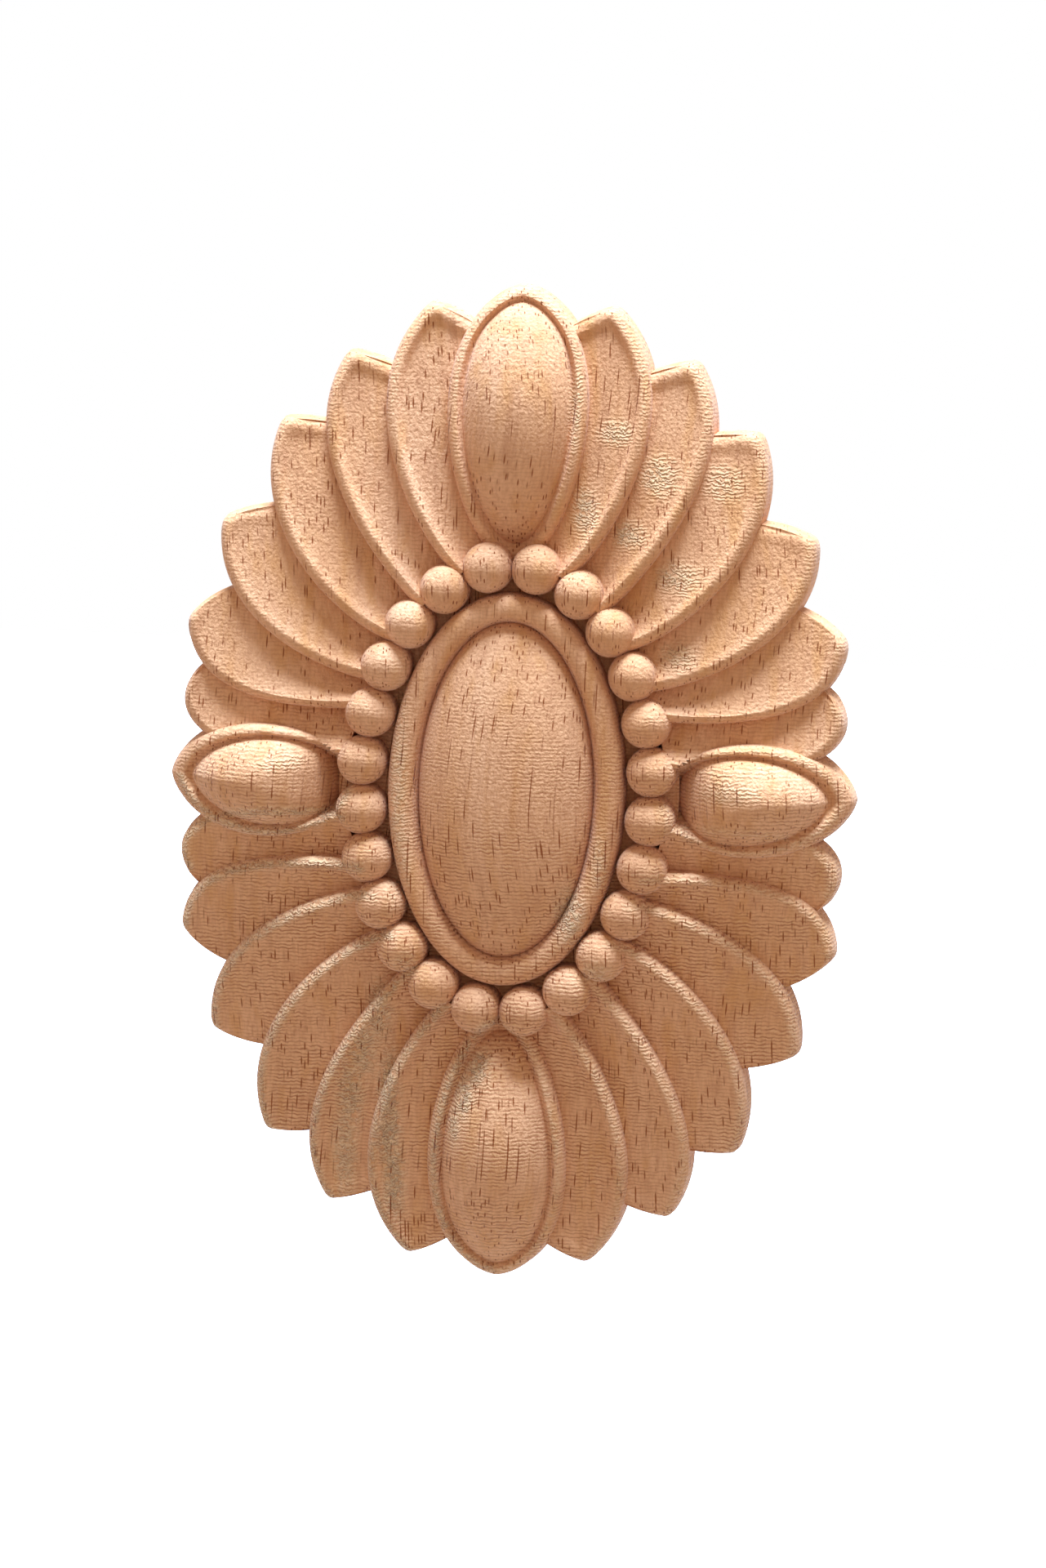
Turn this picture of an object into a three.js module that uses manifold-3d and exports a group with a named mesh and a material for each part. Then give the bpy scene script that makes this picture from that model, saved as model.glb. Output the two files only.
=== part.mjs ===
// Oval rosette carved from one piece of pale hardwood, for gluing flat to furniture or panelling.
// The back lies in the plane y = 0 and faces +Y. The carving faces -Y. The grain and the long axis run
// along Z. The origin is the middle of the flat back. A point of the carving has x, z and its height
// above the back.
import * as THREE from 'three';
import { mergeVertices } from 'three/addons/utils/BufferGeometryUtils.js';
import Module from 'manifold-3d';

const wasm = await Module();
wasm.setup();

// Overall sizes in millimetres
const rosetteHeight = 120;
const rosetteWidth = 83;
const domeTop = 11.2;

// Heights above the back. The crests of all rims lie on one crown, level round the beads and falling
// ever more steeply from a share of the way out
const innerCrest = 7.6;
const edgeCrest = 3.3;
const crownStart = 0.58;
const beadCentreHeight = 6.4;
const pitFloor = 3.9;
const thinnestScoop = 1.2;

// Rim that runs round every petal and medallion
const rimReach = 1.1;
const rimDrop = 1.3;
const wallFlare = 0.09;

// Middle: dome, groove, rounded band and beads
const bandOuterWidth = 28.5;
const bandOuterHeight = 47.2;
const bandFoot = 5.8;
const bandTop = 8.2;
const grooveWidth = 21;
const grooveHeight = 40.2;
const grooveFloor = 6.2;
const domeFullness = 0.58;
const beadDiameter = 6.05;
const beadGap = 0.2;
const beadCount = 24;
const beadSkirt = 0.3;

// Scoops of the petals, sunk below the rims: hollow is 0 for a flat slope across the petal and 1 for a
// round one, and the inner step is what a rim stands proud of the scoop beside it
const scoopAtRoot = 3.8;
const scoopAtTip = 1.8;
const scoopFade = 2;
const hollow = 0.35;
const innerStep = 0.5;
const stepStart = 1.25;
const stepWidth = 1;
const tipRound = 0.9;
const lapUnderNeighbour = 2.2;

// Where a petal runs under a medallion it sinks out of the way
const tuckStart = 0.5;
const tuckWidth = 0.8;
const tuckDepth = 2.5;

// Medallions: inner domes rise from a crease inside the rim
const crestShare = 0.6;
const creaseDepth = 0.7;
const medallionFullness = 0.8;
const uprightDomeRise = 3.5;
const levelDomeRise = 3.3;
const levelRimRaise = 1;
const uprightFootSink = 2.8;
const levelFootSink = 5.5;
const footSinkSpread = 3;

// Fineness of the facets
const ribsOnLongEdge = 8;
const ribsOnTip = 2;
const ribsOnShortEdge = 2;
const shortEdgeUsed = 0.96;
const wallShare = 0.3;
const ribShareForRim = 0.8;
const scoopShares = [0.45, 1];
const guideStep = 0.01;
const facetsRoundMiddle = 30;
const facetsRoundMedallion = 22;
const facetsRoundBead = 10;
const arcsUpBead = 3;
const ovalLengthSteps = 4000;
const domeShares = [0.95, 0.78, 0.46, 0];
const buried = 2;

// Cross-section of the band, from its outer foot to the groove, as [share of its width, height]
const bandProfile = [
  [0, bandFoot],
  [0.1, 0.25 * bandFoot + 0.75 * bandTop],
  [0.3, bandTop],
  [0.66, bandTop],
  [0.86, 0.25 * grooveFloor + 0.75 * bandTop],
  [1, grooveFloor],
];

// The walls flare towards the back, so the crests are laid out on slightly smaller ovals
const flareAtFoot = wallFlare * (edgeCrest - rimDrop);
const halfWidth = rosetteWidth / 2 - flareAtFoot;
const halfHeight = rosetteHeight / 2 - flareAtFoot;
const quarterTurn = Math.PI / 2;

// Edges of the petals in one quarter, from the upright axis to the level one. Each is a cubic curve
// given by [turn from the upright axis in degrees, reach as a share of the oval's radius]. The next petal
// starts at the notch, a share of the curve. Bow is the bulge of the short edge as a share of its length.
// Rim and tipRim are the shares of the inner step that show along the edge and round the tip.
const petalEdges = [
  {
    root: [20.8, 0.455], rootPull: [29.8, 0.574], tipPull: [33.7, 0.95], tip: [15.6, 1],
    notch: 0.77, bow: 0.125, rim: 1, tipRim: 1,
  },
  {
    root: [36.7, 0.443], rootPull: [42.7, 0.638], tipPull: [44.1, 0.963], tip: [30.4, 0.998],
    notch: 0.72, bow: 0.125, rim: 0.7, tipRim: 0.6,
  },
  {
    root: [48.9, 0.431], rootPull: [58, 0.61], tipPull: [57.2, 0.97], tip: [43.9, 1.002],
    notch: 0.68, bow: 0.125, rim: 0.4, tipRim: 0.3,
  },
  {
    root: [61.2, 0.429], rootPull: [66.2, 0.512], tipPull: [71.7, 0.947], tip: [59.2, 1.007],
    notch: 0.74, bow: 0.17, rim: 0.2, tipRim: 0.1,
  },
  {
    root: [69.7, 0.437], rootPull: [77.2, 0.655], tipPull: [80.9, 0.96], tip: [72, 1.01],
    notch: 0.74, bow: 0.225, rim: 0, tipRim: 0,
  },
  {
    root: [83.6, 0.472], rootPull: [88.6, 0.832], tipPull: [84.4, 1.029], tip: [78.5, 0.966],
    notch: 0.6, bow: 0.28, rim: 0, tipRim: 0,
  },
];

// Medallions as egg outlines: middle, half length, half breadth and the small peak at the tip as shares of
// the half height or half width that they lie along or across, egg for a fuller outer end, point for
// straighter sides at the ends.
const uprightEgg = { middle: 0.7167, length: 0.2763, breadth: 0.2, egg: 0.19, point: 1.05, peak: 0.007 };
const uprightCrease = { middle: 0.7265, length: 0.2365, breadth: 0.1554, egg: 0.19, point: 1, peak: 0.008 };
const levelEgg = { middle: 0.7108, length: 0.2812, breadth: 0.1125, egg: 0, point: 1.08, peak: 0.008 };
const levelCrease = { middle: 0.7036, length: 0.2229, breadth: 0.0883, egg: -0.12, point: 1.1, peak: 0.004 };
const peakSpread = 0.22;
const notchTurnOnUprightEgg = 41;
const rootTurnOnUprightEgg = 165;

// A point on the ovals of the rosette, by turn from the upright axis and reach
function onOval([turn, reach]) {
  const angle = THREE.MathUtils.degToRad(turn);
  return new THREE.Vector2(reach * halfWidth * Math.sin(angle), reach * halfHeight * Math.cos(angle));
}

// How far out a point lies, 0 in the middle and 1 on the oval through the tips
function reachOf(point) {
  return Math.hypot(point.x / halfWidth, point.y / halfHeight);
}

// Height of the crown on which the crests of all rims lie
function crownHeight(point) {
  const share = Math.max(0, reachOf(point) - crownStart) / (1 - crownStart);
  return innerCrest + (edgeCrest - innerCrest) * share ** 2;
}

// Rounding of the outer side of a rim, as a fall below its crest at a distance in from the wall
function rimRounding(distance) {
  if (distance >= rimReach) return 0;
  const share = 1 - distance / rimReach;
  return rimDrop * (1 - Math.sqrt(Math.max(0, 1 - share * share)));
}

function raised(point, height) {
  return new THREE.Vector3(point.x, -height, point.y);
}

// Closed mesh from triangles of points: equal points are joined and flat triangles left out
class SolidBuilder {
  constructor() {
    this.points = [];
    this.keys = new Map();
    this.triangles = [];
  }

  index(point) {
    const key = [point.x, point.y, point.z].map((value) => Math.round(value * 1e4)).join();
    if (!this.keys.has(key)) {
      this.keys.set(key, this.points.length);
      this.points.push(point);
    }
    return this.keys.get(key);
  }

  triangle(a, b, c) {
    const [i, j, k] = [this.index(a), this.index(b), this.index(c)];
    if (i !== j && j !== k && k !== i) this.triangles.push(i, j, k);
  }

  quad(a, b, c, d) {
    this.triangle(a, b, c);
    this.triangle(a, c, d);
  }

  geometry() {
    const geometry = new THREE.BufferGeometry();
    const positions = this.points.flatMap((point) => [point.x, point.y, point.z]);
    geometry.setAttribute('position', new THREE.Float32BufferAttribute(positions, 3));
    geometry.setIndex(this.triangles);
    return geometry;
  }
}

// Solid under a grid of points: its top is the grid, its sides go down past the back
function solidUnderGrid(grid, foot) {
  const builder = new SolidBuilder();
  const rows = grid.length - 1;
  const columns = grid[0].length - 1;
  for (let i = 0; i < rows; i += 1) {
    for (let j = 0; j < columns; j += 1) {
      builder.quad(grid[i][j], grid[i + 1][j], grid[i + 1][j + 1], grid[i][j + 1]);
      builder.quad(foot[i][j], foot[i][j + 1], foot[i + 1][j + 1], foot[i + 1][j]);
    }
    builder.quad(grid[i + 1][0], grid[i][0], foot[i][0], foot[i + 1][0]);
    builder.quad(grid[i][columns], grid[i + 1][columns], foot[i + 1][columns], foot[i][columns]);
  }
  for (let j = 0; j < columns; j += 1) {
    builder.quad(grid[0][j], grid[0][j + 1], foot[0][j + 1], foot[0][j]);
    builder.quad(grid[rows][j + 1], grid[rows][j], foot[rows][j], foot[rows][j + 1]);
  }
  return builder.geometry();
}

// Solid of stacked rings: from a buried ring up and inwards to a last ring that closes on one point
function solidOfRings(rings) {
  const builder = new SolidBuilder();
  const count = rings[0].length;
  for (let i = 0; i < count; i += 1) {
    const next = (i + 1) % count;
    for (let j = 0; j < rings.length - 1; j += 1) {
      builder.quad(rings[j][i], rings[j][next], rings[j + 1][next], rings[j + 1][i]);
    }
    builder.triangle(rings[0][0], rings[0][next], rings[0][i]);
  }
  return builder.geometry();
}

// Petal edge as a curve from its root under the beads to its tip
function edgeCurve(edge) {
  return new THREE.CubicBezierCurve(
    onOval(edge.root), onOval(edge.rootPull), onOval(edge.tipPull), onOval(edge.tip),
  );
}

// Outline of an egg: turn 0 is its tip, half a turn its foot
function eggPoint(egg, turn, upright) {
  const along = (upright ? halfHeight : halfWidth);
  const across = (upright ? halfWidth : halfHeight);
  const side = Math.sign(Math.sin(turn)) * Math.abs(Math.sin(turn)) ** egg.point;
  const peak = egg.peak * Math.max(0, 1 - Math.abs(Math.sin(turn / 2)) / peakSpread);
  const length = along * (egg.middle + egg.length * Math.cos(turn) + peak);
  const breadth = across * egg.breadth * side * (1 + egg.egg * Math.cos(turn));
  return upright ? new THREE.Vector2(breadth, length) : new THREE.Vector2(length, breadth);
}

// How far a point lies in from the long side of an egg, negative outside it
function depthInside(egg, point, upright) {
  const [along, across] = upright ? [halfHeight, halfWidth] : [halfWidth, halfHeight];
  const [length, breadth] = upright ? [point.y, point.x] : [point.x, point.y];
  const cosine = THREE.MathUtils.clamp((length / along - egg.middle) / egg.length, -1, 1);
  const side = across * egg.breadth * Math.sqrt(1 - cosine ** 2) ** egg.point * (1 + egg.egg * cosine);
  return side - Math.abs(breadth);
}

// Edge of the piece that laps over a petal: the medallion for the first, else the petal before it
function lappingPoint(number, share) {
  if (number === 0) {
    const turn = THREE.MathUtils.degToRad(
      THREE.MathUtils.lerp(rootTurnOnUprightEgg, notchTurnOnUprightEgg, share),
    );
    return eggPoint(uprightEgg, turn, true);
  }
  const edge = petalEdges[number - 1];
  return edgeCurve(edge).getPoint(share * edge.notch);
}

function lappingGuide(number, share) {
  const here = lappingPoint(number, share);
  const before = lappingPoint(number, Math.max(0, share - guideStep));
  const along = lappingPoint(number, Math.min(1, share + guideStep)).sub(before).normalize();
  return new THREE.Vector2(here.x - along.y * lapUnderNeighbour, here.y + along.x * lapUnderNeighbour);
}

// Outline of a petal from its root along the long edge, round the tip and back to the lapping guide.
// Each station has its place, the guide opposite it, and its shares of the long edge, the tip and the
// short edge.
function petalStations(number) {
  const long = edgeCurve(petalEdges[number]);
  const tip = onOval(petalEdges[number].tip);
  const end = lappingGuide(number, 1);
  const notch = lappingPoint(number, 1);
  const outward = new THREE.Vector2(tip.y - end.y, end.x - tip.x).normalize();
  const bulge = petalEdges[number].bow * tip.distanceTo(notch);
  const bow = tip.clone().lerp(notch, 0.5).addScaledVector(outward, -bulge);
  const short = new THREE.QuadraticBezierCurve(tip, bow, end);
  const longCut = 1 - tipRound / long.getLength();
  const shortCut = tipRound / short.getLength();
  const corner = new THREE.QuadraticBezierCurve(long.getPoint(longCut), tip, short.getPoint(shortCut));
  const stations = [];
  for (let i = 0; i <= ribsOnLongEdge; i += 1) {
    const share = i / ribsOnLongEdge;
    const place = long.getPoint(share * longCut);
    stations.push({ place, guide: lappingGuide(number, share), long: share, tip: 0, short: 0 });
  }
  for (let i = 1; i <= ribsOnTip; i += 1) {
    const share = i / ribsOnTip;
    stations.push({ place: corner.getPoint(share), guide: end, long: 1, tip: share, short: 0 });
  }
  for (let i = 1; i <= ribsOnShortEdge; i += 1) {
    const share = i / ribsOnShortEdge;
    const place = short.getPoint(THREE.MathUtils.lerp(shortCut, shortEdgeUsed, share));
    stations.push({ place, guide: end, long: 1, tip: 1, short: share });
  }
  return stations;
}

// Height of a petal at a distance in from its wall, on the rib of a station
function petalHeight(edge, point, station, distance, ribLength) {
  const scoop = THREE.MathUtils.lerp(scoopAtTip, scoopAtRoot, (1 - station.long) ** scoopFade);
  const step = innerStep * THREE.MathUtils.lerp(edge.rim, edge.tipRim, station.tip);
  const past = Math.max(0, distance - stepStart);
  const share = Math.min(1, past / Math.max(stepWidth, ribLength - stepStart));
  const stepSink = step * THREE.MathUtils.smoothstep(past, 0, stepWidth);
  const rest = scoop - step;
  const restOnCrest = rest * station.short ** 2;
  const restSink = THREE.MathUtils.lerp(restOnCrest, rest, share * (1 + hollow * (1 - share)));
  const under = Math.max(depthInside(uprightEgg, point, true), depthInside(levelEgg, point, false));
  const tuck = tuckDepth * THREE.MathUtils.smoothstep(under, tuckStart, tuckStart + tuckWidth);
  return Math.max(thinnestScoop, crownHeight(point) - stepSink - restSink - rimRounding(distance) - tuck);
}

function petalGeometry(number) {
  const fixedDistances = [0, rimReach * wallShare, stepStart, stepStart + stepWidth];
  const lastWanted = fixedDistances.at(-1);
  const stations = petalStations(number);
  const grid = [];
  const foot = [];
  stations.forEach((station, i) => {
    const before = stations[Math.max(0, i - 1)].place;
    const after = stations[Math.min(stations.length - 1, i + 1)].place;
    const along = after.clone().sub(before).normalize();
    const outward = new THREE.Vector2(along.y, -along.x);
    const rib = station.guide.clone().sub(station.place);
    const ribLength = rib.length();
    const lastFixed = Math.min(lastWanted, ribLength * ribShareForRim);
    const distances = fixedDistances.map((distance) => distance * lastFixed / lastWanted);
    scoopShares.forEach((share) => distances.push(THREE.MathUtils.lerp(lastFixed, ribLength, share)));
    const row = distances.map((distance) => {
      const point = station.place.clone().addScaledVector(rib, distance / ribLength);
      return raised(point, petalHeight(petalEdges[number], point, station, distance, ribLength));
    });
    const rowFoot = row.map((point, j) => {
      const flare = j === 0 ? wallFlare * (buried - point.y) : 0;
      return new THREE.Vector3(point.x + outward.x * flare, buried, point.z + outward.y * flare);
    });
    grid.push(row);
    foot.push(rowFoot);
  });
  return solidUnderGrid(grid, foot);
}

// Evenly spaced turns once round
function turnsRound(count) {
  return Array.from({ length: count }, (_, i) => i * 2 * Math.PI / count);
}

// Medallion: wall, rounded rim, flank down to the crease, and a dome inside it
function medallionGeometry(outer, crease, upright, domeRise, rimRaise, footSink) {
  const middle = eggPoint({ ...crease, length: 0, breadth: 0, peak: 0 }, 0, upright);
  const rimShares = [0, crestShare, 1];
  const innerShares = [0.82, 0.48, 0];
  const rings = [];
  const turns = turnsRound(facetsRoundMedallion);
  const direction = upright ? -1 : 1;
  const crestAt = (turn) => {
    const sinking = footSink * Math.max(0, -Math.cos(turn)) ** footSinkSpread;
    return rimRaise * Math.sin(turn) ** 2 - sinking;
  };
  const outline = turns.map((turn) => eggPoint(outer, direction * turn, upright));
  rings.push(outline.map((point, i) => {
    const outwards = point.clone().sub(middle).normalize();
    const flare = wallFlare * (buried + crownHeight(point) + crestAt(turns[i]));
    return new THREE.Vector3(point.x + outwards.x * flare, buried, point.y + outwards.y * flare);
  }));
  rimShares.forEach((share) => rings.push(turns.map((turn, i) => {
    const inner = eggPoint(crease, direction * turn, upright);
    const point = outline[i].clone().lerp(inner, share);
    const rounding = rimRounding(rimReach * Math.min(1, share / crestShare));
    const flank = creaseDepth * THREE.MathUtils.smoothstep(share, crestShare, 1);
    return raised(point, crownHeight(point) + crestAt(turn) - rounding - flank);
  })));
  innerShares.forEach((share) => rings.push(turns.map((turn) => {
    const inner = eggPoint(crease, direction * turn, upright);
    const creaseHeight = crownHeight(inner) + crestAt(turn) - creaseDepth;
    const middleHeight = crownHeight(middle) + rimRaise - creaseDepth + domeRise;
    const point = middle.clone().lerp(inner, share);
    const rise = (1 - share ** 2) ** medallionFullness;
    return raised(point, THREE.MathUtils.lerp(creaseHeight, middleHeight, rise));
  })));
  return solidOfRings(rings);
}

// Middle: from the buried foot up over the rounded band, down into the groove and up over the dome
function middleGeometry() {
  const turns = turnsRound(facetsRoundMiddle);
  const ring = (width, height, level) => turns.map((turn) => (
    raised(new THREE.Vector2(width / 2 * Math.cos(turn), height / 2 * Math.sin(turn)), level)
  ));
  const rings = [ring(bandOuterWidth, bandOuterHeight, -buried)];
  bandProfile.forEach(([share, level]) => {
    const width = THREE.MathUtils.lerp(bandOuterWidth, grooveWidth, share);
    const height = THREE.MathUtils.lerp(bandOuterHeight, grooveHeight, share);
    rings.push(ring(width, height, level));
  });
  domeShares.forEach((share) => {
    const level = THREE.MathUtils.lerp(grooveFloor, domeTop, (1 - share ** 2) ** domeFullness);
    rings.push(ring(grooveWidth * share, grooveHeight * share, level));
  });
  return solidOfRings(rings);
}

// Flat floor of the pits between the beads
function pitFloorGeometry() {
  const turns = turnsRound(facetsRoundMiddle);
  const reach = beadGap + beadDiameter;
  const ring = (level) => turns.map((turn) => raised(new THREE.Vector2(
    (bandOuterWidth / 2 + reach) * Math.cos(turn), (bandOuterHeight / 2 + reach) * Math.sin(turn),
  ), level));
  const centre = turns.map(() => raised(new THREE.Vector2(0, 0), pitFloor));
  return solidOfRings([ring(-buried), ring(pitFloor), centre]);
}

// Bead: a ball above its widest line and a short straight skirt down to the pit floor
function beadGeometry() {
  const radius = beadDiameter / 2;
  const footLevel = pitFloor - beadSkirt;
  const profile = [new THREE.Vector2(0, footLevel), new THREE.Vector2(radius, footLevel)];
  for (let i = 0; i < arcsUpBead; i += 1) {
    const turn = i / arcsUpBead * quarterTurn;
    profile.push(new THREE.Vector2(radius * Math.cos(turn), beadCentreHeight + radius * Math.sin(turn)));
  }
  profile.push(new THREE.Vector2(0, beadCentreHeight + radius));
  return new THREE.LatheGeometry(profile, facetsRoundBead).rotateX(Math.PI);
}

// Middles of the beads, evenly spaced along an oval just outside the band, half a space off the axes
function beadPlaces() {
  const reach = beadDiameter / 2 + beadGap;
  const oval = new THREE.EllipseCurve(0, 0, bandOuterWidth / 2 + reach, bandOuterHeight / 2 + reach);
  oval.arcLengthDivisions = ovalLengthSteps;
  return Array.from({ length: beadCount }, (_, i) => oval.getPointAt((i + 0.5) / beadCount));
}

// Closed geometry as a solid that can be joined and cut
function toSolid(geometry) {
  const bare = geometry.clone();
  bare.deleteAttribute('normal');
  bare.deleteAttribute('uv');
  const merged = mergeVertices(bare, 1e-4);
  return new wasm.Manifold(new wasm.Mesh({
    numProp: 3,
    vertProperties: new Float32Array(merged.attributes.position.array),
    triVerts: new Uint32Array(merged.index.array),
  }));
}

function toGeometry(solid) {
  const mesh = solid.getMesh();
  const geometry = new THREE.BufferGeometry();
  geometry.setAttribute('position', new THREE.Float32BufferAttribute(mesh.vertProperties, 3));
  geometry.setIndex(Array.from(mesh.triVerts));
  geometry.computeVertexNormals();
  return geometry;
}

// A mirrored copy keeps its faces pointing out by having each triangle's order turned round
function mirrored(geometry, sideways, upsideDown) {
  const copy = geometry.clone().scale(sideways ? -1 : 1, 1, upsideDown ? -1 : 1);
  if (sideways !== upsideDown) {
    const order = Array.from(copy.index.array);
    for (let i = 0; i < order.length; i += 3) [order[i + 1], order[i + 2]] = [order[i + 2], order[i + 1]];
    copy.setIndex(order);
  }
  return copy;
}

// Everything joined into one piece, then the back cut flat
function carvedRosetteGeometry() {
  const pieces = [middleGeometry(), pitFloorGeometry()];
  const bead = beadGeometry();
  beadPlaces().forEach((place) => pieces.push(bead.clone().translate(place.x, 0, place.y)));
  const upright = medallionGeometry(uprightEgg, uprightCrease, true, uprightDomeRise, 0, uprightFootSink);
  const level = medallionGeometry(
    levelEgg, levelCrease, false, levelDomeRise, levelRimRaise, levelFootSink,
  );
  pieces.push(upright, mirrored(upright, false, true), level, mirrored(level, true, false));
  petalEdges.forEach((_, number) => {
    const petal = petalGeometry(number);
    [false, true].forEach((sideways) => {
      [false, true].forEach((upsideDown) => pieces.push(mirrored(petal, sideways, upsideDown)));
    });
  });
  let joined = toSolid(pieces[0]);
  pieces.slice(1).forEach((piece) => {
    joined = joined.add(toSolid(piece));
  });
  const behind = new THREE.BoxGeometry(2 * rosetteWidth, 2 * buried, 2 * rosetteHeight);
  return toGeometry(joined.subtract(toSolid(behind.translate(0, buried, 0))));
}

const paleHardwood = new THREE.MeshStandardMaterial({ color: '#c9976a', roughness: 0.75, metalness: 0 });
const carvedRosette = new THREE.Mesh(carvedRosetteGeometry(), paleHardwood);
carvedRosette.name = 'carved_rosette';

const rosette = new THREE.Group();
rosette.add(carvedRosette);

export default rosette;
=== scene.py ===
import math
import random

import bpy
import numpy as np
from mathutils import Matrix, Vector


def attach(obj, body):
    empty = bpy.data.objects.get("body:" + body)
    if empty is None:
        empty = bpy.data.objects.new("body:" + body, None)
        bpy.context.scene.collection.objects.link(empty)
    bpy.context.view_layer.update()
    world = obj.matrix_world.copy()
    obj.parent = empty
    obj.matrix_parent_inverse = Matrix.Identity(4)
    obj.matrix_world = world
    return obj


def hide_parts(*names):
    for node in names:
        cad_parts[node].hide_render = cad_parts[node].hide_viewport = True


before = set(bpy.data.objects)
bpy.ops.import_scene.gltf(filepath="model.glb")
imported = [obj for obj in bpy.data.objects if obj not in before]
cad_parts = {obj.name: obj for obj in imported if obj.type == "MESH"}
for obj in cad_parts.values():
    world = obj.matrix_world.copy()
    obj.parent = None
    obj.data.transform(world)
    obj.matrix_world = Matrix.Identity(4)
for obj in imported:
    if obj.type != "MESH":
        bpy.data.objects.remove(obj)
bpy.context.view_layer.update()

# An oval rosette carved from one piece of pale hardwood, standing upright and seen from slightly right and
# above. The flat back is at y = 0, the carving faces -Y and the grain runs along Z. Sizes below are
# millimetres and become metres where they are multiplied by mm.
mm = 0.001

rosette = {
    "height": 120.0,
    "width": 83.0,
    "edgeCrest": 3.3,          # height of the rims above the back at the outline
    "innerCrest": 7.6,         # and beside the beads
    "crownStart": 0.58,        # they fall from here, a share of the way out, ever more steeply
    "rimReach": 1.1,           # from the wall to the crest line of a rim
    "rimDrop": 1.3,            # how far a rim rounds over
    "wallFlare": 0.09,         # walls widen this much for each millimetre they go down
    "buried": 2.0,             # solids reach this far past the back, until the back is cut flat
}

# millimetres within which points count as one
closeness = {
    "grid": 0.002,
    "backCut": 0.0001,
    "carving": 0.01,
}

halfWidth = rosette["width"] / 2 - rosette["wallFlare"] * (rosette["edgeCrest"] - rosette["rimDrop"])
halfHeight = rosette["height"] / 2 - rosette["wallFlare"] * (rosette["edgeCrest"] - rosette["rimDrop"])


# Small helpers


def soleSelection(piece):
    bpy.ops.object.select_all(action="DESELECT")
    piece.select_set(True)
    bpy.context.view_layer.objects.active = piece


def smoothStep(value):
    held = np.clip(value, 0, 1)
    return held * held * (3 - 2 * held)


def onOval(turn, reach):
    angle = math.radians(turn)
    return np.array([reach * halfWidth * math.sin(angle), reach * halfHeight * math.cos(angle)])


def bezier(points, shares):
    # any number of control points, by repeated lerps
    layers = [np.outer(np.ones(len(shares)), point) for point in points]
    while len(layers) > 1:
        layers = [a + (b - a) * shares[:, None] for a, b in zip(layers, layers[1:])]
    return layers[0]


def crownHeight(plan):
    # all rims lie on one crown, highest at the beads
    reach = np.hypot(plan[..., 0] / halfWidth, plan[..., 1] / halfHeight)
    share = np.maximum(0, reach - rosette["crownStart"]) / (1 - rosette["crownStart"])
    return rosette["innerCrest"] + (rosette["edgeCrest"] - rosette["innerCrest"]) * share ** 2


def rimRounding(distance):
    share = 1 - np.clip(distance / rosette["rimReach"], 0, 1)
    return rosette["rimDrop"] * (1 - np.sqrt(np.clip(1 - share * share, 0, 1)))


def nearestOnPath(plan, path):
    # distance from each point to an open path of straight steps
    flat = plan.reshape(-1, 1, 2)
    start, step = path[:-1], path[1:] - path[:-1]
    along = np.clip(((flat - start) * step).sum(-1) / (step * step).sum(-1), 0, 1)
    gap = flat - (start + along[..., None] * step)
    return np.sqrt((gap * gap).sum(-1)).min(1).reshape(plan.shape[:-1])


def solidFromGrid(name, plan, height):
    # a grid primitive takes the form, and its border, which lies in one plane behind the back, is closed with
    # one face
    rows, columns = height.shape
    bpy.ops.mesh.primitive_grid_add(x_subdivisions=columns - 1, y_subdivisions=rows - 1, size=1)
    piece = bpy.context.object
    piece.name = name
    places = np.stack([plan[..., 0], -height, plan[..., 1]], -1).reshape(-1, 3) * mm
    piece.data.vertices.foreach_set("co", places.ravel())
    bpy.ops.object.mode_set(mode="EDIT")
    bpy.ops.mesh.select_all(action="SELECT")
    bpy.ops.mesh.remove_doubles(threshold=closeness["grid"] * mm)
    bpy.ops.mesh.select_all(action="DESELECT")
    bpy.ops.mesh.select_non_manifold(extend=False, use_wire=True, use_boundary=True, use_multi_face=False,
                                     use_non_contiguous=False, use_verts=False)
    bpy.ops.mesh.edge_face_add()
    bpy.ops.mesh.select_all(action="SELECT")
    bpy.ops.mesh.normals_make_consistent(inside=False)
    bpy.ops.object.mode_set(mode="OBJECT")
    return piece


def mirroredCopies(piece, sideways, upsideDown):
    copies = [piece]
    turns = [(x, z) for x in ([1, -1] if sideways else [1]) for z in ([1, -1] if upsideDown else [1])][1:]
    for x, z in turns:
        soleSelection(piece)
        bpy.ops.object.duplicate()
        copy = bpy.context.object
        bpy.ops.transform.resize(value=(x, 1, z), center_override=(0, 0, 0))
        bpy.ops.object.transform_apply(location=True, rotation=True, scale=True)
        bpy.ops.object.mode_set(mode="EDIT")
        bpy.ops.mesh.select_all(action="SELECT")
        bpy.ops.mesh.normals_make_consistent(inside=False)
        bpy.ops.object.mode_set(mode="OBJECT")
        copies.append(copy)
    return copies


def joinInto(block, tool):
    soleSelection(block)
    cut = block.modifiers.new("join", "BOOLEAN")
    cut.operation = "UNION"
    cut.solver = "MANIFOLD"
    cut.object = tool
    bpy.ops.object.modifier_apply(modifier=cut.name)
    bpy.data.objects.remove(tool)


# Middle: rounded band, narrow groove and dome, drawn up ring by ring from an oval

middle = {
    "bandWidth": 28.5,
    "bandHeight": 47.2,
    "grooveWidth": 21.0,
    "grooveHeight": 40.2,
    "grooveFloor": 6.2,
    "domeTop": 11.2,
    "domeSwell": 0.58,         # 0.5 is a full round, 1 a flat parabola
    "facets": 160,
    "domeSteps": 22,
    "pitFloor": 3.9,           # height of the pits between the beads
    "pitFacets": 96,
}

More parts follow.
